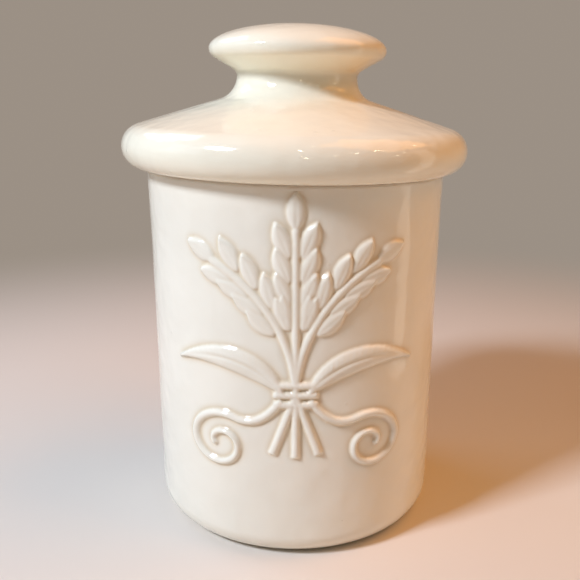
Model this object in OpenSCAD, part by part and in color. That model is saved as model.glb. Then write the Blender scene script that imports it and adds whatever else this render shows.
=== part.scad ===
// Biscuit jar: a cast ceramic jar with a raised wheat ornament on its front,
// closed by a cast lid with a waisted neck and a wide domed knob.
// The origin is the centre of the foot's underside, +Z is up, and the
// ornament faces -Y. All sizes are in millimetres.

/* [Jar body] */
// Height of the jar body, from the table to its rim
body_h = 182.1; // [165:0.1:230]
// Outer diameter of the jar body at its rim
rim_d = 152; // [140:1:176]
// Radius that the wall loses from the rim down to the base, for mould release
wall_draft = 1.2; // [0:0.1:3]
// Extra radius that the wall gains as it flares out to the rim
rim_flare = 0.6; // [0.2:0.1:1.5]
// Height of the flared band below the rim
flare_h = 36; // [15:1:60]
// Thickness of the jar wall
wall = 6; // [5:0.5:8]
// Thickness of the jar floor above the foot recess
floor_t = 7; // [5:0.5:12]
// Outer rounding between the wall and the underside
bottom_round = 13; // [8:0.5:18]
// Inner rounding between the wall and the floor
floor_round = 10; // [6:0.5:16]
// Rounding of the rim's outer edge
rim_round = 2; // [1:0.1:2.4]
// Rounding of the rim's inner edge
mouth_round = 1.6; // [1:0.1:2.2]

/* [Foot] */
// Width of the flat ring that the jar stands on
foot_w = 6; // [4:0.5:12]
// Depth of the recess inside the foot ring
foot_recess = 2; // [1:0.2:3]

/* [Lid] */
// How far the lid's rim stands out past the jar's rim
lid_overhang = 11.4; // [10:0.1:18]
// Width of the rounding under the lid's rim
under_round_w = 9.4; // [8:0.1:10]
// Height of the lid's widest line above its seat
lid_rim_z = 10; // [8.4:0.2:12]
// Radius of the lid's shoulder above its widest line
shoulder_r = 11.3; // [9:0.1:15]
// Slope of the lid's top, in degrees
lid_slope = 17.2; // [12:0.2:22]
// Thickness of the lid's wall
lid_wall = 6; // [5:0.5:7]
// Depth of the locating flange that drops into the mouth
flange_depth = 11; // [6:0.5:20]
// Thickness of the locating flange
flange_t = 5.5; // [4:0.5:8]
// Gap all round between the flange and the mouth
flange_gap = 1.2; // [0.6:0.1:2]

/* [Knob] */
// Diameter of the neck at its narrowest
neck_d = 60.8; // [52:0.2:70]
// Radius of the sweep from the lid's slope into the neck
neck_sweep = 11.7; // [8:0.1:14]
// Radius of the turn from the neck out to the knob's underside
neck_turn = 3.8; // [2:0.1:6]
// Slope of the knob's underside, in degrees
knob_slope = 29.6; // [22:0.2:38]
// Diameter of the knob
knob_d = 88.6; // [82:0.2:104]
// Radius of the knob's rounded edge
knob_edge_r = 5; // [3.5:0.1:7]
// Height of the knob's crown above its widest line
crown_rise = 12.4; // [10:0.1:16]

/* [Ornament] */
// How far the ornament stands out from the wall
relief_h = 1.4; // [0.8:0.1:2]
// Height of the tie that holds the stalks, above the table
tie_z = 87; // [84:1:100]
// Half width of the tie
tie_half_w = 10.5; // [8:0.5:13]
// Width of each of the tie's three cords
cord_w = 3.8; // [2.6:0.2:4.4]
// Width of a stalk
stalk_w = 4.2; // [2.8:0.2:5]
// Length of the stalks between the tie and the ears
stalk_len = 32; // [26:1:36]
// Bend radius of the two side stalks
stalk_bend = 68; // [60:1:86]
// Length of the cut stalks below the tie
cut_len = 32; // [24:1:38]
// Angle between the cut stalks, in degrees
cut_lean = 20; // [14:1:24]
// Length of one grain
grain_len = 17; // [13:0.5:19]
// Width of one grain
grain_w = 8.8; // [6:0.2:10]
// Angle at which a grain leans away from its stalk, in degrees
grain_lean = 22; // [14:1:32]
// Distance from one pair of grains to the next along an ear
grain_pitch = 10.8; // [8:0.2:11.6]
// Pairs of grains on an ear, below the one at its tip
grain_pairs = 4; // [3:1:5]
// Length of a leaf along its midrib
leaf_len = 57; // [46:1:62]
// Greatest width of a leaf
leaf_w = 11.5; // [8:0.5:13.5]
// Radius of the scrolls on either side of the cut stalks
scroll_r = 15.5; // [12:0.5:17]
// Distance from the middle of the jar's front to the middle of a scroll
scroll_x = 35.5; // [32:0.5:38]
// How far the middle of a scroll lies below the tie
scroll_drop = 27.5; // [24:0.5:30]

/* [Hidden] */
$fn = 96;

// Jar body
rim_r = rim_d / 2;
mouth_r = rim_r - wall;
foot_r = wall_r(bottom_round) - bottom_round;
floor_z = foot_recess + floor_t;
flare_steps = 6;
arc_sag = 0.04;

// Lid, with heights measured from its seat
lid_r = rim_r + lid_overhang;
flange_r = mouth_r - flange_gap;
flange_in_r = flange_r - flange_t;
flange_round = flange_t / 2 - 0.25;
under_c = [lid_r - under_round_w, lid_rim_z];
shoulder_c = [lid_r - shoulder_r, lid_rim_z];
shoulder_end = shoulder_c + shoulder_r * [sin(lid_slope), cos(lid_slope)];
neck_r = neck_d / 2;
sweep_x = neck_r + neck_sweep;
sweep_c = [sweep_x, shoulder_end[1] + (shoulder_end[0] - sweep_x) * tan(lid_slope)
    + neck_sweep / cos(lid_slope)];
turn_c = [neck_r + neck_turn, sweep_c[1]];
turn_end = turn_c + neck_turn * [-sin(knob_slope), cos(knob_slope)];
// Middle of the knob's rounded edge, which touches the sloping underside
knob_x = knob_d / 2 - knob_edge_r;
knob_c = [knob_x, turn_end[1] + (knob_x - turn_end[0]) * tan(knob_slope)
    + knob_edge_r / cos(knob_slope)];
crown_c = [0, knob_c[1]];
// Where the hollow's crown starts, in degrees round from the knob's widest line
crown_core_from = 10;

// Ornament
relief_sink = 1.5;
relief_low = tie_z - scroll_drop - scroll_r - stalk_w;
relief_high = tie_z + stalk_len + grain_pitch * grain_pairs + grain_len + 2;
relief_bands = 4;
relief_heights = [for (i = [0:relief_bands])
    relief_low + (relief_high - relief_low) * i / relief_bands];
leaf_rise = 56;
leaf_fall = 32;
leaf_bend = leaf_len * 180 / PI / (leaf_rise + leaf_fall);
scroll_from = 112;
scroll_turns = 1.35;
scroll_eye = 0.2;

// Points along an oval about c, from angle a to angle b, leaving out the first skip points
function oval(c, radii, a, b, skip = 0) =
    let (n = max(3, ceil(abs(b - a) / acos(1 - min(arc_sag / max(radii), 0.1)) / 2)))
    [for (i = [skip:n]) let (t = a + (b - a) * i / n)
        c + [radii[0] * cos(t), radii[1] * sin(t)]];

// Points along a circular arc, as oval gives them
function arc(c, r, a, b, skip = 0) = oval(c, [r, r], a, b, skip);

// How far up the flared band a height lies, from 0 to 1
function flare_at(z) = max(0, (z - body_h + flare_h) / flare_h);

// Outer radius of the jar's wall at height z
function wall_r(z) = rim_d / 2 - wall_draft * (1 - z / body_h)
    - rim_flare * (1 - pow(flare_at(z), 2));

// Heights of the flared band, from its start up to top
function flare_heights(top) = [for (i = [0:flare_steps])
    body_h - flare_h + (top - body_h + flare_h) * i / flare_steps];

// Half outline of the jar body, from the centre of its underside to its floor
body_outline = concat(
    [[0, foot_recess], [foot_r - foot_w - foot_recess, foot_recess], [foot_r - foot_w, 0]],
    arc([foot_r, bottom_round], bottom_round, -90, 0),
    [for (z = flare_heights(body_h - rim_round)) [wall_r(z), z]],
    arc([wall_r(body_h - rim_round) - rim_round, body_h - rim_round], rim_round, 0, 90, 1),
    arc([wall_r(body_h - mouth_round) - wall + mouth_round, body_h - mouth_round],
        mouth_round, 90, 180),
    [for (i = [1:flare_steps]) let (z = flare_heights(body_h - mouth_round)[flare_steps - i])
        [wall_r(z) - wall, z]],
    arc([wall_r(floor_z + floor_round) - wall - floor_round, floor_z + floor_round],
        floor_round, 0, -90),
    [[0, floor_z]]);

// Half outline of the lid's outside, from its seat to its crown
lid_outline = concat(
    [[0, 0]],
    oval(under_c, [under_round_w, lid_rim_z], -90, 0),
    arc(shoulder_c, shoulder_r, 0, 90 - lid_slope, 1),
    arc(sweep_c, neck_sweep, 270 - lid_slope, 180),
    arc(turn_c, neck_turn, 180, 90 + knob_slope, 1),
    arc(knob_c, knob_edge_r, knob_slope - 90, 0),
    oval(crown_c, [knob_d / 2, crown_rise], 0, 90, 1));

// Half outline of the hollow inside the lid, from its seat plate to the knob
lid_hollow = concat(
    [[0, lid_wall]],
    oval(under_c, [under_round_w - lid_wall, lid_rim_z - lid_wall], -90, 0),
    arc(shoulder_c, shoulder_r - lid_wall, 0, 90 - lid_slope, 1),
    arc(sweep_c, neck_sweep + lid_wall, 270 - lid_slope, 180),
    arc(turn_c, neck_turn + lid_wall, 180, 90 + knob_slope, 1),
    oval(crown_c, [knob_d / 2 - lid_wall, crown_rise - lid_wall], crown_core_from, 90));

// Half outline of the locating flange, rounded below and sunk 1 mm into the seat plate
flange_outline = concat(
    [[flange_in_r, 1]],
    arc([flange_in_r + flange_round, flange_round - flange_depth], flange_round, 180, 270),
    arc([flange_r - flange_round, flange_round - flange_depth], flange_round, 270, 360, 1),
    [[flange_r, 1]]);

// A closed strip along a path, widths[i] wide at path[i]
function strip(path, widths) =
    let (n = len(path) - 1,
        side = [for (i = [0:n])
            let (d = path[min(i + 1, n)] - path[max(i - 1, 0)])
            [-d[1], d[0]] / norm(d) * widths[i] / 2])
    concat([for (i = [0:n]) path[i] + side[i]],
        [for (i = [0:n]) path[n - i] - side[n - i]]);

// How far a stalk of the given bend has turned outwards after length s
function stalk_turn(bend, s) = bend == 0 ? 0 : s / bend * 180 / PI;

// Point at length s on a stalk that leaves the tie upright, a bend of 0 being straight
function on_stalk(bend, s) = [0, tie_z] + (bend == 0
    ? [0, s]
    : bend * [1 - cos(stalk_turn(bend, s)), sin(stalk_turn(bend, s))]);

// Point at share t of a cubic curve from p[0] to p[3]
function cubic(p, t) = pow(1 - t, 3) * p[0] + 3 * t * pow(1 - t, 2) * p[1]
    + 3 * t * t * (1 - t) * p[2] + pow(t, 3) * p[3];

// A flat shape carried out through the wall, x mm round it from the front
module on_wall(x) {
    rotate([0, 0, x / wall_r(tie_z) * 180 / PI])
        translate([0, -rim_r / 2, 0])
            rotate([90, 0, 0])
                linear_extrude(rim_r / 2 + 2 * relief_h) children();
}

// One pointed grain, its root at the origin and its tip up
module grain() {
    bow = (pow(grain_len, 2) + pow(grain_w, 2)) / grain_w / 4;
    intersection_for (side = [-1, 1])
        translate([side * (bow - grain_w / 2), grain_len / 2]) circle(bow);
}

// The grain that leaves a stalk at length s and leans by the angle given
module grain_on_stalk(bend, s, lean) {
    p = on_stalk(bend, s);
    on_wall(p[0])
        translate([0, p[1]])
            rotate(-stalk_turn(bend, s) - lean)
                translate([sign(lean) * grain_w / 3, 0])
                    grain();
}

// A stalk from the tie up, with an ear of paired grains and one at the tip
module stalk_with_ear(bend) {
    steps = 8;
    path = [for (i = [0:steps]) on_stalk(bend, stalk_len * i / steps)];
    on_wall(0) polygon(strip(path, [for (p = path) stalk_w]));
    for (i = [0:grain_pairs - 1], side = [-1, 1])
        grain_on_stalk(bend, stalk_len + i * grain_pitch, side * grain_lean);
    grain_on_stalk(bend, stalk_len + grain_pairs * grain_pitch, 0);
}

// The stalks' cut ends, fanned out below the tie
module cut_ends() {
    for (lean = cut_lean * [-1, 0, 1])
        on_wall(0)
            translate([0, tie_z])
                rotate(lean)
                    translate([-stalk_w / 2, -cut_len])
                        square([stalk_w, cut_len]);
}

// A long leaf that rises from the tie and droops, on the side given
module leaf(side) {
    steps = 12;
    path = [for (i = [0:steps]) let (a = leaf_rise - (leaf_rise + leaf_fall) * i / steps)
        [side * (tie_half_w / 2 + leaf_bend * (sin(leaf_rise) - sin(a))),
            tie_z + leaf_bend * (cos(a) - cos(leaf_rise))]];
    on_wall(0) polygon(strip(path,
        [for (i = [0:steps]) 0.4 + leaf_w * sin(180 * pow(i / steps, 0.85))]));
}

// A tendril that leaves the tie and winds into a scroll, on the side given
module scroll(side) {
    lead_steps = 6;
    steps = 30;
    c = [scroll_x, tie_z - scroll_drop];
    start = c + scroll_r * [cos(scroll_from), sin(scroll_from)];
    heading = [sin(scroll_from), -cos(scroll_from)];
    root = [tie_half_w * 0.7, tie_z - cord_w];
    lead = [root, root + scroll_r * [0.45, -0.6], start - scroll_r * 0.6 * heading, start];
    path = concat(
        [for (i = [0:lead_steps - 1]) cubic(lead, i / lead_steps)],
        [for (i = [0:steps]) let (t = i / steps, a = scroll_from - 360 * scroll_turns * t)
            c + scroll_r * (1 - (1 - scroll_eye) * t) * [cos(a), sin(a)]]);
    n = len(path) - 1;
    on_wall(0)
        polygon(strip([for (p = path) [side * p[0], p[1]]],
            [for (i = [0:n]) stalk_w * (1 - 0.3 * i / n)]));
}

// The band of three cords round the stalks
module tie() {
    for (i = [-1:1])
        on_wall(0)
            translate([-tie_half_w, tie_z + (i * 1.25 - 0.5) * cord_w])
                square([2 * tie_half_w, cord_w]);
}

// The ornament, cut to its height above the wall
module ornament() {
    intersection() {
        rotate_extrude() polygon(concat(
            [for (z = relief_heights) [wall_r(z) + relief_h, z]],
            [for (i = [relief_bands:-1:0]) let (z = relief_heights[i])
                [wall_r(z) - relief_sink, z]]));
        union() {
            for (bend = stalk_bend * [-1, 0, 1]) stalk_with_ear(bend);
            cut_ends();
            for (side = [-1, 1]) {
                leaf(side);
                scroll(side);
            }
            tie();
        }
    }
}

module jar_body() {
    color("ivory") {
        rotate_extrude() polygon(body_outline);
        ornament();
    }
}

module lid() {
    color("cornsilk")
        translate([0, 0, body_h]) {
            difference() {
                rotate_extrude() polygon(lid_outline);
                rotate_extrude() polygon(lid_hollow);
                translate([0, 0, -1]) cylinder(r = flange_in_r, h = lid_wall + 2);
            }
            rotate_extrude() polygon(flange_outline);
        }
}

jar_body();
lid();
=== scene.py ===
import math

import bpy
import numpy as np
from mathutils import Matrix, Vector


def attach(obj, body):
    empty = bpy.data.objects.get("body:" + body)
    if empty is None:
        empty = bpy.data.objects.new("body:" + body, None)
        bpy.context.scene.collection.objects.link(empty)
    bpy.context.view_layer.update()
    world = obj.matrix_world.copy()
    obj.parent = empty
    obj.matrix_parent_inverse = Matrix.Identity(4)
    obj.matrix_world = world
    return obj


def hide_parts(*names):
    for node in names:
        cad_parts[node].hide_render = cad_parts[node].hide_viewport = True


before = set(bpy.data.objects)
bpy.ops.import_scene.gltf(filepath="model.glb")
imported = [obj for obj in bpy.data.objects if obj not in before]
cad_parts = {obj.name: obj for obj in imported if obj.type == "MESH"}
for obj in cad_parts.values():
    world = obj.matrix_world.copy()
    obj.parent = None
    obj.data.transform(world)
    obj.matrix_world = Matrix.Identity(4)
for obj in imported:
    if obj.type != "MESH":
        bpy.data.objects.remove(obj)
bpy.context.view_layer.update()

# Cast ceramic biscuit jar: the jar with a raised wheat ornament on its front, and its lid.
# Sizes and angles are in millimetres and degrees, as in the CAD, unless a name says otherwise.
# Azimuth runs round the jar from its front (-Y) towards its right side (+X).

MM = 0.001

# Jar body
BODY_H, RIM_R, WALL_DRAFT, RIM_FLARE, FLARE_H = 182.1, 76.0, 1.2, 0.6, 36.0
WALL, FLOOR_T, BOTTOM_ROUND, FLOOR_ROUND, RIM_ROUND, MOUTH_ROUND = 6.0, 7.0, 13.0, 10.0, 2.0, 1.6
FOOT_W, FOOT_RECESS = 6.0, 2.0

# Lid, with heights from its seat
LID_R, UNDER_ROUND_W, LID_RIM_Z, SHOULDER_R, LID_SLOPE, LID_WALL = 87.4, 9.4, 10.0, 11.3, 17.2, 6.0
FLANGE_DEPTH, FLANGE_T, FLANGE_R = 11.0, 5.5, 68.8
NECK_R, NECK_SWEEP, NECK_TURN, KNOB_SLOPE = 30.4, 11.7, 3.8, 29.6
KNOB_R, KNOB_EDGE_R, CROWN_RISE, CROWN_CORE_FROM = 44.3, 5.0, 12.4, 10.0
# How the lid sits: lowest on the right side of the rim, which was cast a little out of level
LID_TILT, LID_PIVOT_R, LID_SHIFT = 1.098, 74.0, -0.7
# How much of the lid's tilt the rim follows, and the height from which the wall does
RIM_FOLLOWS, RIM_FOLLOWS_FROM = 0.86, 120.0
# The knob was cast slightly off the lid's axis, to the right
KNOB_SHIFT, KNOB_SHIFT_FROM, KNOB_SHIFT_TO = 0.7, 24.0, 45.0

# Ornament
RELIEF_H, TIE_Z, TIE_HALF_W, CORD_W = 2.0, 87.0, 10.5, 3.8
STALK_W, STALK_LEN, STALK_BEND, CUT_LEN, CUT_LEAN = 4.2, 32.0, 68.0, 32.0, 20.0
GRAIN_LEN, GRAIN_W, GRAIN_LEAN, GRAIN_PITCH, GRAIN_PAIRS = 17.0, 8.8, 22.0, 10.8, 4
LEAF_LEN, LEAF_W, LEAF_RISE, LEAF_FALL = 57.0, 11.5, 56.0, 32.0
SCROLL_R, SCROLL_X, SCROLL_DROP, SCROLL_FROM, SCROLL_TURNS, SCROLL_EYE = 15.5, 35.5, 27.5, 112.0, 1.35, 0.2

# Mesh
FINE = 0.5              # spacing of the mesh across the ornament
RELIEF_Z = (38.0, 179.6)
RELIEF_AZ = 50.0        # half width of the finely meshed front
COARSE_AZ = 2.5         # spacing of the columns elsewhere
COARSE_Z = 2.5          # spacing of the rows elsewhere
ARC_STEP = 0.8

# Unevenness of the slip-cast walls on the jar and on the lid, and the heights over which it fades in
JAR_WAVES, LID_WAVES, JAR_FADE, LID_FADE = 0.16, 0.1, 20.0, 8.0
LID_WAVES_R = 30.0      # it fades out again from here towards the lid's axis
# Glaze rounds the ornament off, and leaves a little of its crispness
SOFT_REACH, CRISP_REACH, CRISP = 0.42, 1.5, 0.16
# How far beside the ornament glaze pools, with painted shade, and the depth at which it shows its full tone
POOL_SHADE_REACH, POOL_SHADE_DEPTH = 1.6, 0.45

# Colours
# The pooled colours are darker and warmer than the glaze: thicker glaze with painted shade in the hollows
# beside the ornament
JAR_GLAZE, JAR_POOLED_SHADE = (0.87, 0.83, 0.71), (0.78, 0.68, 0.51)
LID_GLAZE, LID_POOLED_SHADE = (0.88, 0.83, 0.67), (0.80, 0.72, 0.53)
SPECK, BISQUE_DARK, BISQUE_PALE = (0.32, 0.22, 0.14), (0.62, 0.52, 0.42), (0.74, 0.66, 0.56)
FLOOR_TONE, BACKDROP = (0.76, 0.70, 0.63), (0.33, 0.28, 0.235)
DAYLIGHT, SKY, ROOM = (0.78, 0.855, 1.0), (0.68, 0.81, 1.0), (1.0, 0.39, 0.05)
CARD, GLINT, AMBIENT = (1.0, 0.86, 0.7), (1.0, 0.8, 0.55), (1.0, 0.8, 0.6)

# Directions of the small lamps whose glints dot the lid, as azimuth and elevation
GLINTS = ((4, 47), (6, 20), (19, 66), (26, 31), (40, 38), (63, 39), (64, 18), (77, 26), (101, 40))

# Floor
FLOOR_R, FLOOR_RINGS, FLOOR_SPOKES = 3000.0, 40, 96

# Camera
LENS, SENSOR_W, CAMERA_PITCH, CAMERA_ROLL = 46.428, 36.0, 15.254, 0.022
CAMERA_AT = (-2.67, -392.72, 223.74)


# ---------------------------------------------------------------- profiles

def oval(centre, radii, start, end, step=ARC_STEP):
    """Points along part of an oval, angles in degrees."""
    n = max(4, math.ceil(abs(math.radians(end - start)) * max(radii) / step))
    a = np.radians(np.linspace(start, end, n + 1))
    return [(centre[0] + radii[0] * math.cos(t), centre[1] + radii[1] * math.sin(t)) for t in a]


def arc(centre, radius, start, end, step=ARC_STEP):
    """Points along a circular arc, angles in degrees."""
    return oval(centre, (radius, radius), start, end, step)


def line(a, b, step):
    """Points from a to b, both included."""
    n = max(1, math.ceil(math.dist(a, b) / step))
    return [(a[0] + (b[0] - a[0]) * i / n, a[1] + (b[1] - a[1]) * i / n) for i in range(n + 1)]


def wall_r(z):
    """Outer radius of the jar's wall at height z."""
    flare = np.maximum(0.0, (np.asarray(z) - BODY_H + FLARE_H) / FLARE_H)
    return RIM_R - WALL_DRAFT * (1 - np.asarray(z) / BODY_H) - RIM_FLARE * (1 - flare ** 2)


def tidy(points):
    """The points without those that repeat."""
    kept = [points[0]]
    for p in points[1:]:
        if math.dist(p, kept[-1]) > 0.02:
            kept.append(p)
    return np.array(kept)


def eased(points, size=0.6):
    """The profile with a small rounding at each of its corners."""
    out = [points[0]]
    for before, p, after in zip(points[:-2], points[1:-1], points[2:]):
        before, p, after = map(np.array, (before, p, after))
        u, v = before - p, after - p
        lu, lv = np.linalg.norm(u), np.linalg.norm(v)
        if lu < 1e-9 or lv < 1e-9 or np.dot(u, v) / lu / lv < math.cos(math.radians(150)):
            out.append(tuple(p))
            continue
        a, b = p + u / lu * min(size, lu / 2), p + v / lv * min(size, lv / 2)
        for t in (0, 0.25, 0.5, 0.75, 1):
            out.append(tuple((1 - t) ** 2 * a + 2 * t * (1 - t) * p + t * t * b))
    out.append(points[-1])
    return out


def wall_heights():
    """Heights of the rows of the outer wall: close together across the ornament."""
    low, high = RELIEF_Z
    below = np.arange(BOTTOM_ROUND, low, COARSE_Z)
    fine = np.arange(low, high, FINE)
    above = np.linspace(high, BODY_H - RIM_ROUND, 6)
    return np.concatenate([below, fine, above])


def body_profile():
    """From the centre of the underside, up the outside and down the inside to the floor's centre.
    Returns the points and the number of those on the unglazed foot."""
    foot_r = float(wall_r(BOTTOM_ROUND)) - BOTTOM_ROUND
    floor_z = FOOT_RECESS + FLOOR_T
    foot = eased([(0, FOOT_RECESS), (foot_r - FOOT_W - FOOT_RECESS, FOOT_RECESS), (foot_r - FOOT_W, 0),
                  (foot_r - FOOT_W / 2, 0)])
    foot = line(foot[0], foot[1], 6.0) + foot[2:] + line(foot[-1], (foot_r, 0), 1.5)
    outside = arc((foot_r, BOTTOM_ROUND), BOTTOM_ROUND, -90, 0)
    outside += [(float(wall_r(z)), float(z)) for z in wall_heights()]
    z = BODY_H - RIM_ROUND
    outside += arc((float(wall_r(z)) - RIM_ROUND, z), RIM_ROUND, 0, 90, 0.25)
    z = BODY_H - MOUTH_ROUND
    inside = arc((float(wall_r(z)) - WALL + MOUTH_ROUND, z), MOUTH_ROUND, 90, 180, 0.25)
    for z in np.linspace(z, floor_z + FLOOR_ROUND, 40)[1:]:
        inside.append((float(wall_r(z)) - WALL, float(z)))
    r = float(wall_r(floor_z + FLOOR_ROUND)) - WALL
    inside += arc((r - FLOOR_ROUND, floor_z + FLOOR_ROUND), FLOOR_ROUND, 0, -90)
    inside += line((r - FLOOR_ROUND, floor_z), (0, floor_z), 5.0)
    foot = tidy(foot)
    return tidy(list(map(tuple, foot)) + outside + inside), len(foot)


def lid_profile():
    """From the inside of the crown, down the hollow, round the flange and up the outside.
    Returns the points and the range of those that are unglazed."""
    under_c = (LID_R - UNDER_ROUND_W, LID_RIM_Z)
    shoulder_c = np.array([LID_R - SHOULDER_R, LID_RIM_Z])
    slope = math.radians(LID_SLOPE)
    end = shoulder_c + SHOULDER_R * np.array([math.sin(slope), math.cos(slope)])
    sweep_x = NECK_R + NECK_SWEEP
    sweep_c = (sweep_x, end[1] + (end[0] - sweep_x) * math.tan(slope) + NECK_SWEEP / math.cos(slope))
    turn_c = np.array([NECK_R + NECK_TURN, sweep_c[1]])
    under = math.radians(KNOB_SLOPE)
    turn_end = turn_c + NECK_TURN * np.array([-math.sin(under), math.cos(under)])
    knob_x = KNOB_R - KNOB_EDGE_R
    knob_z = turn_end[1] + (knob_x - turn_end[0]) * math.tan(under) + KNOB_EDGE_R / math.cos(under)
    # Outside, from the seat up
    outside = oval(under_c, (UNDER_ROUND_W, LID_RIM_Z), -90, 0, 0.5)
    outside += arc(shoulder_c, SHOULDER_R, 0, 90 - LID_SLOPE)
    sweep = arc(sweep_c, NECK_SWEEP, 270 - LID_SLOPE, 180)
    outside += line(outside[-1], sweep[0], 1.5) + sweep
    outside += arc(turn_c, NECK_TURN, 180, 90 + KNOB_SLOPE, 0.4)
    edge = arc((knob_x, knob_z), KNOB_EDGE_R, KNOB_SLOPE - 90, 0, 0.4)
    outside += line(outside[-1], edge[0], 1.0) + edge
    outside += oval((0, knob_z), (KNOB_R, CROWN_RISE), 0, 90)
    # Inside, a wall's thickness in, from the seat plate up
    sweep = arc(sweep_c, NECK_SWEEP + LID_WALL, 270 - LID_SLOPE, 180)
    inside = oval(under_c, (UNDER_ROUND_W - LID_WALL, LID_RIM_Z - LID_WALL), -90, 0)
    inside += arc(shoulder_c, SHOULDER_R - LID_WALL, 0, 90 - LID_SLOPE)
    inside += line(inside[-1], sweep[0], 3.0) + sweep
    inside += arc(turn_c, NECK_TURN + LID_WALL, 180, 90 + KNOB_SLOPE)
    core = oval((0, knob_z), (KNOB_R - LID_WALL, CROWN_RISE - LID_WALL), CROWN_CORE_FROM, 90, 2.0)
    inside += line(inside[-1], core[0], 2.0) + core
    # Flange, from the bore outwards and up to the seat
    inner_r, rounding = FLANGE_R - FLANGE_T, FLANGE_T / 2 - 0.25
    bore = eased([(under_c[0], LID_WALL), (inner_r, LID_WALL), (inner_r, 0)])
    flange = arc((inner_r + rounding, rounding - FLANGE_DEPTH), rounding, 180, 270, 0.4)
    flange += arc((FLANGE_R - rounding, rounding - FLANGE_DEPTH), rounding, 270, 360, 0.4)
    flange += eased([(FLANGE_R, -FLANGE_DEPTH / 2), (FLANGE_R, 0), (under_c[0], 0)])
    hidden = tidy(inside[::-1] + bore + flange)
    seat = int(np.argmax(hidden[:, 1] == hidden[:, 1].min()))
    return tidy(list(map(tuple, hidden)) + outside), (seat, len(hidden))


# ---------------------------------------------------------------- meshes

def lathe(name, profile, azimuths, radial=None):
    """A closed surface of revolution. radial, if given, moves each point out from the axis."""
    rows, cols = len(profile), len(azimuths)
    r = np.repeat(profile[:, :1], cols, 1)
    if radial is not None:
        r = r + radial
    z = np.repeat(profile[:, 1:], cols, 1)
    co = np.stack([r * np.sin(azimuths), -r * np.cos(azimuths), z], -1) * MM
    inner = co[1:-1].reshape(-1, 3)
    ends = np.array([co[0].mean(0), co[-1].mean(0)])
    ring = np.arange(inner.shape[0]).reshape(rows - 2, cols)
    after = np.roll(ring, -1, 1)
    quads = np.stack([ring[:-1], after[:-1], after[1:], ring[1:]], -1).reshape(-1, 4)
    first, last = len(inner), len(inner) + 1
    faces = [(first, b, a) for a, b in zip(ring[0], after[0])]
    faces += quads.tolist()
    faces += [(last, a, b) for a, b in zip(ring[-1], after[-1])]
    mesh = bpy.data.meshes.new(name)
    mesh.from_pydata(np.concatenate([inner, ends]).tolist(), [], faces)
    mesh.polygons.foreach_set("use_smooth", [True] * len(faces))
    row_of_face = np.concatenate([np.zeros(cols), np.repeat(np.arange(1, rows - 2), cols),
                                  np.full(cols, rows - 2)]).astype(int)
    piece = bpy.data.objects.new(name, mesh)
    bpy.context.scene.collection.objects.link(piece)
    return piece, row_of_face


def store(piece, name, values):
    """Keeps a value for each point of a lathed mesh, for its material to read."""
    values = np.concatenate([values[1:-1].ravel(), [0.0, 0.0]]).astype(np.float32)
    attribute = piece.data.attributes.new(name, "FLOAT", "POINT")
    attribute.data.foreach_set("value", values)


def waves(azimuths, z, seed, size):
    """Slow unevenness of a slip-cast wall, the same all the way round at its join."""
    rng = np.random.default_rng(seed)
    total = np.zeros((len(z), len(azimuths)))
    for turns in range(1, 9):
        for _ in range(2):
            phase = rng.uniform(0, 2 * math.pi)
            tall = rng.uniform(30, 110)
            shift = rng.uniform(0, 2 * math.pi)
            total += np.cos(turns * azimuths[None] + phase) * np.cos(
                2 * math.pi * z[:, None] / tall + shift) / math.sqrt(turns)
    return total * size / 3


# ---------------------------------------------------------------- ornament

def dome(t, power=0.62):
    """Height of a rounded ridge across its width, t being 0 at its middle and 1 at its edge."""
    return np.clip(1 - t * t, 0, 1) ** power


def near_path(x, z, path, widths):
    """Distance from each point to a path as a share of its half width there, and the place along it."""
    path, widths = np.asarray(path, float), np.asarray(widths, float)
    best = np.full(np.broadcast(x, z).shape, 9.0)
    place = np.zeros_like(best)
    n = len(path) - 1
    for i in range(n):
        a, d = path[i], path[i + 1] - path[i]
        t = np.clip(((x - a[0]) * d[0] + (z - a[1]) * d[1]) / (d @ d), 0, 1)
        gap = np.hypot(x - a[0] - t * d[0], z - a[1] - t * d[1])
        share = gap / ((widths[i] + (widths[i + 1] - widths[i]) * t) / 2)
        closer = share < best
        best = np.where(closer, share, best)
        place = np.where(closer, (i + t) / n, place)
    return best, place


def on_stalk(bend, s):
    """Point at length s on a stalk that leaves the tie upright, and how far it has turned outwards."""
    if not bend:
        return np.array([0, TIE_Z + s]), 0.0
    turn = s / bend
    return np.array([bend * (1 - math.cos(turn)), TIE_Z + bend * math.sin(turn)]), turn


def grain_height(x, z, root, angle):
    """One pointed grain with a crease, its root at the point given and leaning right by the angle."""
    dx, dz = x - root[0], z - root[1]
    c, s = math.cos(angle), math.sin(angle)
    across, along = dx * c - dz * s, dx * s + dz * c
    bow = (GRAIN_LEN ** 2 + GRAIN_W ** 2) / GRAIN_W / 4
    half = np.sqrt(np.clip(bow ** 2 - (along - GRAIN_LEN / 2) ** 2, 0, None)) - (bow - GRAIN_W / 2)
    inside = (half > 0.02) & (along > 0) & (along < GRAIN_LEN)
    t = np.where(inside, np.abs(across) / np.maximum(half, 0.02), 1.0)
    rise = 0.62 + 0.38 * np.clip(along / GRAIN_LEN, 0, 1)
    crease = 0.3 * np.exp(-(across / 0.55) ** 2) * np.clip(1 - along / GRAIN_LEN, 0, 1) ** 0.5
    return np.where(inside, RELIEF_H * rise * dome(t) - crease * dome(t), 0.0)


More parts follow.
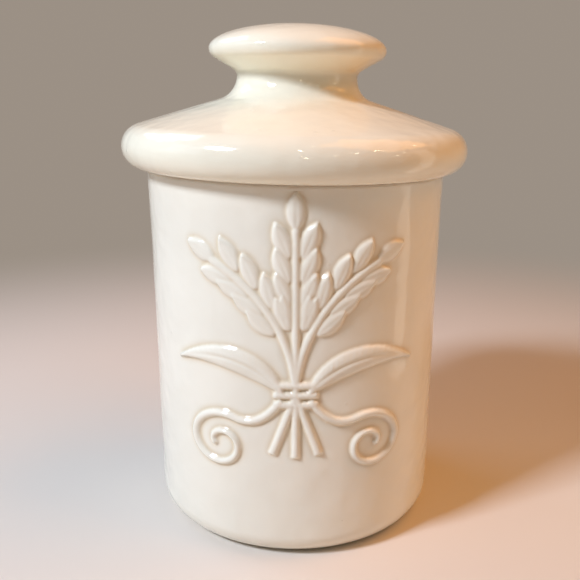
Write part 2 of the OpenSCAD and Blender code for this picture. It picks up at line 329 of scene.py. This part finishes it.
def ear_height(r, azimuths, z, bend):
    """A stalk and its ear: pairs of grains, and one at the tip."""
    path = [on_stalk(bend, s)[0] for s in np.linspace(0, STALK_LEN + GRAIN_PITCH * GRAIN_PAIRS, 16)]
    x = r * np.sin(azimuths)
    t, _ = near_path(x, z, path, [STALK_W] * len(path))
    h = 0.72 * RELIEF_H * dome(t)
    for i in range(GRAIN_PAIRS + 1):
        p, turn = on_stalk(bend, STALK_LEN + i * GRAIN_PITCH)
        x = r * np.sin(azimuths - p[0] / wall_r(TIE_Z))
        for side in ((-1, 1) if i < GRAIN_PAIRS else (0,)):
            angle = turn + side * math.radians(GRAIN_LEAN)
            shift = side * GRAIN_W / 3
            root = (shift * math.cos(angle), p[1] - shift * math.sin(angle))
            h = np.maximum(h, grain_height(x, z, root, angle))
    return h


def leaf_height(x, z, side):
    """A long leaf that rises from the tie and droops, with a groove along its midrib."""
    share = np.linspace(0, 1, 25)
    bend = LEAF_LEN / math.radians(LEAF_RISE + LEAF_FALL)
    a = np.radians(LEAF_RISE - (LEAF_RISE + LEAF_FALL) * share)
    rise = math.radians(LEAF_RISE)
    path = np.stack([side * (TIE_HALF_W / 2 + bend * (math.sin(rise) - np.sin(a))),
                     TIE_Z + bend * (np.cos(a) - math.cos(rise))], -1)
    widths = 0.4 + LEAF_W * np.sin(math.pi * share ** 0.85)
    t, place = near_path(x, z, path, widths)
    width = np.interp(place, share, widths)
    groove = 0.55 * np.exp(-(t * width / 2 / 0.75) ** 2) * np.clip(width / LEAF_W, 0, 1)
    veins = 0.06 * np.cos(place * 2 * math.pi * 22 - t * 2.2 * math.pi) * np.clip(t * (1 - t) * 4, 0, 1)
    return np.where(t < 1, (0.95 * RELIEF_H + veins) * dome(t, 0.5) - groove, 0.0)


def scroll_path():
    """A tendril that leaves the tie and winds into a scroll, on the right side, and its widths."""
    centre = np.array([SCROLL_X, TIE_Z - SCROLL_DROP])
    a0 = math.radians(SCROLL_FROM)
    start = centre + SCROLL_R * np.array([math.cos(a0), math.sin(a0)])
    heading = np.array([math.sin(a0), -math.cos(a0)])
    root = np.array([TIE_HALF_W * 0.7, TIE_Z - CORD_W])
    lead = [root, root + SCROLL_R * np.array([0.45, -0.6]), start - SCROLL_R * 0.6 * heading, start]
    path = []
    for t in np.arange(8) / 8:
        path.append((1 - t) ** 3 * lead[0] + 3 * t * (1 - t) ** 2 * lead[1]
                    + 3 * t * t * (1 - t) * lead[2] + t ** 3 * lead[3])
    for t in np.linspace(0, 1, 60):
        a = a0 - 2 * math.pi * SCROLL_TURNS * t
        path.append(centre + SCROLL_R * (1 - (1 - SCROLL_EYE) * t) * np.array([math.cos(a), math.sin(a)]))
    return np.array(path), STALK_W * (1 - 0.3 * np.linspace(0, 1, len(path)))


def tie_height(x, z):
    """Three twisted cords round the stalks."""
    h = np.zeros(np.broadcast(x, z).shape)
    for i in (-1, 0, 1):
        dz = z - (TIE_Z + i * 1.25 * CORD_W)
        t = np.abs(dz) / (CORD_W / 2)
        end = np.clip((TIE_HALF_W - np.abs(x)) / 1.2, 0, 1) ** 0.5
        twist = 0.16 * np.cos(2 * math.pi * (x + dz * 0.8) / 2.6)
        h = np.maximum(h, np.where(t < 1, (RELIEF_H - 0.16 + twist) * dome(t, 0.5) * end, 0.0))
    return h


def blurred(h, sigma):
    """The height field smoothed by a bell curve of sigma mesh steps each way."""
    reach = int(3 * sigma + 1)
    k = np.exp(-0.5 * (np.arange(-reach, reach + 1) / sigma) ** 2)
    k /= k.sum()
    for axis in (0, 1):
        pad = [(reach, reach) if a == axis else (0, 0) for a in (0, 1)]
        wide = np.pad(h, pad, mode="edge")
        h = sum(w * np.take(wide, np.arange(i, i + h.shape[axis]), axis) for i, w in enumerate(k))
    return h


def ornament_height(azimuths, z):
    """Height of the whole ornament above the wall on a grid of rows z and columns azimuths."""
    z = z[:, None]
    azimuths = azimuths[None]
    r = wall_r(z)
    x = r * np.sin(azimuths)
    h = np.zeros((z.shape[0], azimuths.shape[1]))
    for lean in (-CUT_LEAN, 0, CUT_LEAN):
        a = math.radians(lean)
        end = (CUT_LEN * math.sin(a), TIE_Z - CUT_LEN * math.cos(a))
        t, place = near_path(x, z, [(0, TIE_Z), end], [STALK_W, STALK_W])
        pith = 0.35 * np.exp(-(((1 - place) * CUT_LEN) / 1.5) ** 2) * np.clip(1 - t * 1.4, 0, 1)
        cut = ((x - end[0]) * math.sin(a) - (z - end[1]) * math.cos(a)) < 0
        h = np.maximum(h, np.where(cut, 0.85 * RELIEF_H * dome(t) - pith, 0.0))
    path, widths = scroll_path()
    for side in (-1, 1):
        t, _ = near_path(x, z, path * (side, 1), widths)
        h = np.maximum(h, 0.92 * RELIEF_H * dome(t))
        h = np.maximum(h, leaf_height(x, z, side))
    for bend in (-STALK_BEND, 0, STALK_BEND):
        h = np.maximum(h, ear_height(r, azimuths, z, bend))
    h = np.maximum(h, tie_height(x, z))
    soft = blurred(h, SOFT_REACH / FINE)
    return soft + CRISP * (soft - blurred(h, CRISP_REACH / FINE))


# ---------------------------------------------------------------- pieces

def jar_columns():
    """Azimuths of the columns, in radians: close together across the ornament."""
    fine = np.arange(-RELIEF_AZ, RELIEF_AZ + 1e-6, math.degrees(FINE / RIM_R))
    coarse = np.linspace(fine[-1], 360 - RELIEF_AZ, round((360 - 2 * RELIEF_AZ) / COARSE_AZ) + 1)[1:-1]
    return np.radians(np.concatenate([fine, coarse])), len(fine)


def eased_share(z, low, high):
    """A smooth 0 to 1 as height z goes from low to high."""
    share = min(max((z - low) / (high - low), 0.0), 1.0)
    return share * share * (3 - 2 * share)


def follow_lid(piece):
    """Leans the jar's rim after the tilted lid that sits on it."""
    for v in piece.data.vertices:
        rise = (LID_PIVOT_R * MM - v.co.x) * math.sin(math.radians(LID_TILT)) * RIM_FOLLOWS
        v.co.z += rise * eased_share(v.co.z / MM, RIM_FOLLOWS_FROM, BODY_H)


def make_jar():
    """The jar: a lathed wall with the ornament raised on its front."""
    profile, foot_rows = body_profile()
    azimuths, front = jar_columns()
    z = profile[:, 1]
    outer = np.arange(len(profile)) < int(np.argmax(z))
    radial = np.zeros((len(profile), len(azimuths)))
    pool_shade = np.zeros_like(radial)
    band = np.where(outer & (z >= RELIEF_Z[0]) & (z <= RELIEF_Z[1]))[0]
    h = ornament_height(azimuths[:front], z[band])
    radial[np.ix_(band, range(front))] = h
    # Painted shade, with pooled glaze: a darker, warmer tone in the hollows beside the ornament
    depth = blurred(np.maximum(h, 0), POOL_SHADE_REACH / FINE) - h
    pool_shade[np.ix_(band, range(front))] = np.clip(depth / POOL_SHADE_DEPTH, 0, 1)
    near_rim = np.clip((BODY_H - 2 * RIM_ROUND - z) / JAR_FADE, 0, 1)
    fade = np.where(outer, np.clip((z - BOTTOM_ROUND) / JAR_FADE, 0, 1) * near_rim, 0)
    radial += waves(azimuths, z, 7, JAR_WAVES) * fade[:, None]
    piece, row_of_face = lathe("jar_body_ceramic", profile, azimuths, radial)
    follow_lid(piece)
    store(piece, "pool_shade", pool_shade)
    piece.data.materials.append(glaze("jar_glaze", JAR_GLAZE, JAR_POOLED_SHADE))
    piece.data.materials.append(bisque())
    bare = (row_of_face >= foot_rows - 8) & (row_of_face < foot_rows)
    piece.data.polygons.foreach_set("material_index", bare.astype(np.int32))
    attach(piece, "jar")
    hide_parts("jar_body")


def make_lid():
    """The lid, lathed level and then set down as it sits on the jar."""
    profile, bare_rows = lid_profile()
    azimuths = np.radians(np.arange(0, 360, 2.0))
    z = profile[:, 1]
    outer = np.arange(len(profile)) > bare_rows[1] + 12
    fade = np.where(outer, np.clip((z - LID_RIM_Z) / LID_FADE, 0, 1), 0)
    radial = waves(azimuths, z, 3, LID_WAVES) * fade[:, None] * np.clip(profile[:, :1] / LID_WAVES_R, 0, 1)
    piece, row_of_face = lathe("lid_ceramic", profile, azimuths, radial)
    for v in piece.data.vertices:
        v.co.x += KNOB_SHIFT * MM * eased_share(v.co.z / MM, KNOB_SHIFT_FROM, KNOB_SHIFT_TO)
    turn = Matrix.Rotation(math.radians(LID_TILT), 4, "Y")
    pivot = Matrix.Translation(Vector((LID_PIVOT_R, 0, 0)) * MM)
    place = Matrix.Translation(Vector((LID_SHIFT, 0, BODY_H)) * MM)
    piece.data.transform(place @ pivot @ turn @ pivot.inverted())
    store(piece, "pool_shade", np.zeros_like(radial))
    piece.data.materials.append(glaze("lid_glaze_cream", LID_GLAZE, LID_POOLED_SHADE))
    piece.data.materials.append(bisque())
    bare = (row_of_face >= bare_rows[0]) & (row_of_face < bare_rows[1] - 1)
    piece.data.polygons.foreach_set("material_index", bare.astype(np.int32))
    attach(piece, "lid")
    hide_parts("lid")


# ---------------------------------------------------------------- materials

def add(tree, kind, inputs=(), **settings):
    """A node with its inputs set: a number or colour as a value, a socket as a link."""
    node = tree.nodes.new(kind)
    for name, value in settings.items():
        setattr(node, name, value)
    for name, value in dict(inputs).items():
        socket = node.inputs[name]
        if isinstance(value, bpy.types.NodeSocket):
            tree.links.new(value, socket)
        else:
            socket.default_value = value
    return node


def new_material(name):
    """An empty material with its tree, shader and output."""
    material = bpy.data.materials.new(name)
    material.use_nodes = True
    tree = material.node_tree
    tree.nodes.clear()
    shader = add(tree, "ShaderNodeBsdfPrincipled")
    out = add(tree, "ShaderNodeOutputMaterial", {"Surface": shader.outputs["BSDF"]})
    return material, tree, shader, out


def ramp(tree, factor, low, high):
    """A smooth 0 to 1 as factor goes from low to high."""
    node = add(tree, "ShaderNodeMapRange", {"Value": factor, "From Min": low, "From Max": high},
               interpolation_type="SMOOTHSTEP")
    return node.outputs["Result"]


def mixed(tree, factor, a, b):
    """Colour a where factor is 0 and b where it is 1."""
    node = add(tree, "ShaderNodeMix", data_type="RGBA")
    for index, value in ((0, factor), (6, a), (7, b)):
        if isinstance(value, bpy.types.NodeSocket):
            tree.links.new(value, node.inputs[index])
        else:
            node.inputs[index].default_value = value if index == 0 else (*value, 1)
    return node.outputs[2]


def glaze(name, colour, pooled_shade):
    """Glossy ivory glaze: cloudy tone, darker and warmer where it pools beside the ornament (pooled glaze
    with painted shade), orange peel, and a few tiny specks.
    """
    material, tree, shader, _ = new_material(name)
    place = add(tree, "ShaderNodeTexCoord").outputs["Object"]
    cloud = add(tree, "ShaderNodeTexNoise", {"Vector": place, "Scale": 28.0, "Detail": 3.0}).outputs["Fac"]
    paler = tuple(min(1.0, c * 1.03 + 0.01) for c in colour)
    tone = mixed(tree, ramp(tree, cloud, 0.35, 0.68), colour, paler)
    # Painted shade: the pooled value darkens and warms the tone in the hollows beside the ornament
    pool_shade = add(tree, "ShaderNodeAttribute", attribute_name="pool_shade").outputs["Fac"]
    tone = mixed(tree, pool_shade, tone, pooled_shade)
    cells = add(tree, "ShaderNodeTexVoronoi", {"Vector": place, "Scale": 130.0, "Randomness": 1.0})
    rare = add(tree, "ShaderNodeSeparateColor", {"Color": cells.outputs["Color"]}).outputs["Red"]
    speck = add(tree, "ShaderNodeMath", {0: ramp(tree, cells.outputs["Distance"], 0.11, 0.05),
                                         1: ramp(tree, rare, 0.985, 0.99)}, operation="MULTIPLY")
    tree.links.new(mixed(tree, speck.outputs[0], tone, SPECK), shader.inputs["Base Color"])
    # Surface: slow ripple, fine orange peel, and small blisters that catch the light
    ripple = add(tree, "ShaderNodeTexNoise", {"Vector": place, "Scale": 75.0, "Detail": 1.0}).outputs["Fac"]
    peel = add(tree, "ShaderNodeTexNoise", {"Vector": place, "Scale": 420.0, "Detail": 2.0}).outputs["Fac"]
    spots = add(tree, "ShaderNodeTexVoronoi", {"Vector": place, "Scale": 75.0, "Randomness": 1.0})
    blister = ramp(tree, spots.outputs["Distance"], 0.10, 0.0)
    bump = add(tree, "ShaderNodeBump", {"Height": ripple, "Strength": 1.0, "Distance": 0.0006})
    bump = add(tree, "ShaderNodeBump", {"Height": peel, "Strength": 1.0, "Distance": 0.00004,
                                        "Normal": bump.outputs["Normal"]})
    bump = add(tree, "ShaderNodeBump", {"Height": blister, "Strength": 1.0, "Distance": 0.00012,
                                        "Normal": bump.outputs["Normal"]})
    tree.links.new(bump.outputs["Normal"], shader.inputs["Normal"])
    shader.inputs["Roughness"].default_value = 0.08
    shader.inputs["IOR"].default_value = 1.5
    return material


def bisque():
    """Unglazed fired clay of the foot and the lid's seat: matt, fine-grained and a little darker."""
    found = bpy.data.materials.get("bisque")
    if found:
        return found
    material, tree, shader, _ = new_material("bisque")
    place = add(tree, "ShaderNodeTexCoord").outputs["Object"]
    grain = add(tree, "ShaderNodeTexNoise", {"Vector": place, "Scale": 900.0, "Detail": 4.0}).outputs["Fac"]
    tone = mixed(tree, ramp(tree, grain, 0.3, 0.7), BISQUE_DARK, BISQUE_PALE)
    tree.links.new(tone, shader.inputs["Base Color"])
    bump = add(tree, "ShaderNodeBump", {"Height": grain, "Strength": 0.6, "Distance": 0.0002})
    tree.links.new(bump.outputs["Normal"], shader.inputs["Normal"])
    shader.inputs["Roughness"].default_value = 0.85
    return material


# ---------------------------------------------------------------- stage

def seen_ray(tree):
    """1 for rays that show the background: straight, mirrored or through glass."""
    path = add(tree, "ShaderNodeLightPath")
    seen = path.outputs["Is Camera Ray"]
    for kind in ("Is Glossy Ray", "Is Transmission Ray"):
        seen = add(tree, "ShaderNodeMath", {0: seen, 1: path.outputs[kind]}, operation="MAXIMUM").outputs[0]
    return seen


def make_floor():
    """A wide pale floor that turns into the backdrop's plain tone away from the jar."""
    spokes = FLOOR_SPOKES
    radii = [FLOOR_R * MM * (i / FLOOR_RINGS) ** 2 for i in range(1, FLOOR_RINGS + 1)]
    turns = [2 * math.pi * j / spokes for j in range(spokes)]
    verts = [(0, 0, 0)] + [(r * math.sin(a), -r * math.cos(a), 0) for r in radii for a in turns]
    faces = [(0, 1 + j, 1 + (j + 1) % spokes) for j in range(spokes)]
    for i in range(FLOOR_RINGS - 1):
        a = 1 + i * spokes
        faces += [(a + j, a + (j + 1) % spokes, a + spokes + (j + 1) % spokes, a + spokes + j)[::-1]
                  for j in range(spokes)]
    mesh = bpy.data.meshes.new("floor")
    mesh.from_pydata(verts, [], faces)
    floor = bpy.data.objects.new("floor", mesh)
    bpy.context.scene.collection.objects.link(floor)
    material, tree, shader, out = new_material("floor_plain")
    place = add(tree, "ShaderNodeTexCoord").outputs["Object"]
    reach = add(tree, "ShaderNodeVectorMath", {0: place}, operation="LENGTH").outputs["Value"]
    shader.inputs["Base Color"].default_value = (*FLOOR_TONE, 1)
    shader.inputs["Roughness"].default_value = 0.6
    shader.inputs["Specular IOR Level"].default_value = 0.2
    glow = add(tree, "ShaderNodeEmission", {"Color": (*BACKDROP, 1), "Strength": 1.0})
    far = add(tree, "ShaderNodeMath", {0: ramp(tree, reach, 0.25, 0.75), 1: seen_ray(tree)},
              operation="MULTIPLY")
    blend = add(tree, "ShaderNodeMixShader", {0: far.outputs[0], 1: shader.outputs["BSDF"],
                                              2: glow.outputs["Emission"]})
    tree.links.new(blend.outputs[0], out.inputs["Surface"])
    mesh.materials.append(material)


def make_world():
    """Even soft light from all round, and the plain backdrop that the camera sees."""
    world = bpy.data.worlds.new("studio")
    bpy.context.scene.world = world
    world.use_nodes = True
    tree = world.node_tree
    tree.nodes.clear()
    light = add(tree, "ShaderNodeBackground", {"Color": (*AMBIENT, 1), "Strength": 0.015})
    shown = add(tree, "ShaderNodeBackground", {"Color": (*BACKDROP, 1), "Strength": 1.0})
    mix = add(tree, "ShaderNodeMixShader", {0: seen_ray(tree), 1: light.outputs[0], 2: shown.outputs[0]})
    add(tree, "ShaderNodeOutputWorld", {"Surface": mix.outputs[0]})


def lamp(name, azimuth, elevation, distance, size, power, colour, aim=(0, 0, 110)):
    """A soft rectangular lamp that looks at the jar and that the camera doesn't see."""
    data = bpy.data.lights.new(name, "AREA")
    data.shape = "RECTANGLE"
    data.size, data.size_y = size
    data.energy = power
    data.color = colour
    a, e = math.radians(azimuth), math.radians(elevation)
    away = Vector((math.sin(a) * math.cos(e), -math.cos(a) * math.cos(e), math.sin(e)))
    obj = bpy.data.objects.new(name, data)
    bpy.context.scene.collection.objects.link(obj)
    obj.location = Vector(aim) * MM + away * distance
    obj.rotation_mode = "QUATERNION"
    obj.rotation_quaternion = away.to_track_quat("Z", "Y")
    obj.visible_camera = False


def make_lights():
    """Daylight from the left, and the warmer lamps of the room above and on the right."""
    lamp("key_left", -54, 41, 1.5, (0.26, 0.26), 21.8, DAYLIGHT)
    lamp("sky_left", -75, 25, 1.3, (0.6, 0.6), 1.1, SKY)
    lamp("sky_back", -120, 45, 1.3, (0.6, 0.6), 3.3, SKY)
    lamp("room_right", 88, 55, 1.3, (1.0, 1.0), 8.9, ROOM)
    lamp("card_right", 77, 0, 0.24, (0.045, 0.26), 0.045, CARD, aim=(0, 0, 150))
    for i, (azimuth, elevation) in enumerate(GLINTS):
        lamp(f"glint_{i}", azimuth, elevation, 1.4, (0.03, 0.03), 0.2, GLINT)


def make_camera():
    """The photograph's viewpoint, fitted to the outline of the jar."""
    data = bpy.data.cameras.new("camera")
    data.lens, data.sensor_width = LENS, SENSOR_W
    data.clip_start, data.clip_end = 0.01, 20.0
    camera = bpy.data.objects.new("camera", data)
    bpy.context.scene.collection.objects.link(camera)
    camera.matrix_world = (Matrix.Translation(Vector(CAMERA_AT) * MM)
                           @ Matrix.Rotation(math.radians(90 - CAMERA_PITCH), 4, "X")
                           @ Matrix.Rotation(math.radians(CAMERA_ROLL), 4, "Z"))
    bpy.context.scene.camera = camera


make_jar()
make_lid()
make_floor()
make_world()
make_lights()
make_camera()
bpy.context.scene.view_settings.view_transform = "Standard"
